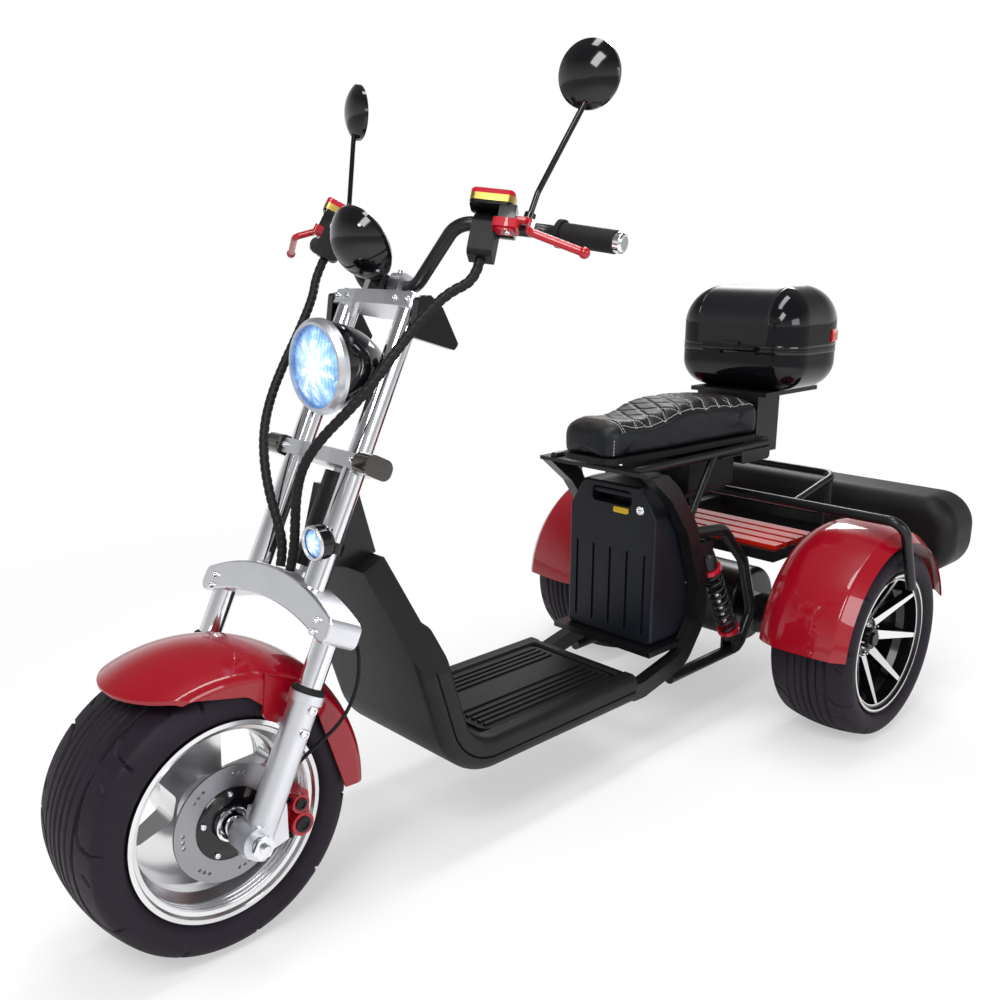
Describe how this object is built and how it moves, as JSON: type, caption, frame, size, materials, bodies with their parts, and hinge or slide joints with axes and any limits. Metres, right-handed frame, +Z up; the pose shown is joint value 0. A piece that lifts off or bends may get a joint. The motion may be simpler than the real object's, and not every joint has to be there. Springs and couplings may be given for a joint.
{
  "type": "three-wheeled electric scooter",
  "caption": "Three-wheeled electric scooter with a raked fork, step-through deck, quilted seat, wide rear tyres under fenders and a hinged top case.",
  "frame": {"origin": "on the floor under the middle of the overall length and width", "axes": "+X forward along the wheelbase, +Y to the rider's left, +Z up"},
  "size_m": [2.0989, 0.94, 1.3539],
  "materials": {
    "candy_red": "gloss",
    "black_paint": "gloss",
    "black_plastic": "fine grain",
    "gloss_black": "gloss",
    "satin_silver": "satin",
    "polished_alloy": "polished",
    "bright_chrome": "mirror bright",
    "black_alloy": "gloss",
    "tyre_rubber": "matte",
    "grip_rubber": "matte",
    "mat_rubber": "matte",
    "seat_leather": "quilted",
    "battery_shell": "fine grain",
    "steel_disc": "brushed",
    "lamp_glass": "clear",
    "lamp_red": "clear red",
    "mirror_face": "silvered",
    "tray_red": "gloss",
    "reservoir_gold": "anodised",
    "dark_lamp": "smoked"
  },
  "bodies": {
    "chassis": {"deck": "black_plastic", "deck_mat": "mat_rubber", "neck": "black_paint", "battery_cradle": "black_paint", "battery_case": "battery_shell", "rear_loops": "black_paint", "shocks": "black_paint", "rear_axle": "black_paint", "drive_motor": "black_paint", "carrier_frame": "black_paint", "tray_slats": "tray_red", "fender_bar": "black_paint", "rear_rack": "black_paint", "rear_fender_left": "candy_red", "rear_fender_right": "candy_red", "tail_housing": "black_plastic", "tail_lamps": "lamp_red", "seat_frame": "black_paint", "seat_base": "black_plastic", "seat": "seat_leather", "tail_bracket": "black_paint", "case_base": "gloss_black", "controller_box": "black_plastic"},
    "steering": {"front_axle": "bright_chrome", "front_fender": "candy_red", "front_caliper": "candy_red", "fork_sliders": "satin_silver", "fork_stanchions": "bright_chrome", "upper_tubes": "bright_chrome", "lower_yoke": "satin_silver", "mid_yoke": "satin_silver", "top_yoke": "satin_silver", "handlebar": "black_paint", "grips": "grip_rubber", "bar_ends": "bright_chrome", "master_cylinders": "reservoir_gold", "brake_levers": "candy_red", "switch_housings": "black_plastic", "mirrors": "gloss_black", "mirror_glass": "mirror_face", "headlight_shell": "gloss_black", "headlight_ring": "bright_chrome", "headlight_lens": "lamp_glass", "fog_lamp": "gloss_black", "front_indicators": "dark_lamp", "yoke_winglets": "gloss_black", "dash": "gloss_black", "looms": "black_plastic", "brake_hose": "grip_rubber"},
    "front_wheel": {"front_tyre": "tyre_rubber", "front_rim": "polished_alloy", "front_disc": "steel_disc"},
    "rear_wheel_left": {"rear_tyre_left": "tyre_rubber", "rear_rim_left": "black_alloy"},
    "rear_wheel_right": {"rear_tyre_right": "tyre_rubber", "rear_rim_right": "black_alloy"},
    "case_lid": {"case_lid": "gloss_black"}
  },
  "joints": [
    {"name": "steering_turn", "type": "hinge", "parent": "chassis", "child": "steering", "pos_m": [0.57016, 0, 0.62312], "axis": [-0.4384, 0, 0.8988], "range_deg": [-38, 38]},
    {"name": "front_wheel_spin", "type": "hinge", "parent": "steering", "child": "front_wheel", "pos_m": [0.8265, 0, 0.223], "axis": [0, 1, 0], "continuous": true},
    {"name": "rear_left_spin", "type": "hinge", "parent": "chassis", "child": "rear_wheel_left", "pos_m": [-0.6095, 0.351, 0.219], "axis": [0, 1, 0], "continuous": true},
    {"name": "rear_right_spin", "type": "hinge", "parent": "chassis", "child": "rear_wheel_right", "pos_m": [-0.6095, -0.351, 0.219], "axis": [0, 1, 0], "continuous": true},
    {"name": "case_lid_hinge", "type": "hinge", "parent": "chassis", "child": "case_lid", "pos_m": [-0.5705, 0, 0.841], "axis": [0, 1, 0], "range_deg": [0, 78]}
  ]
}
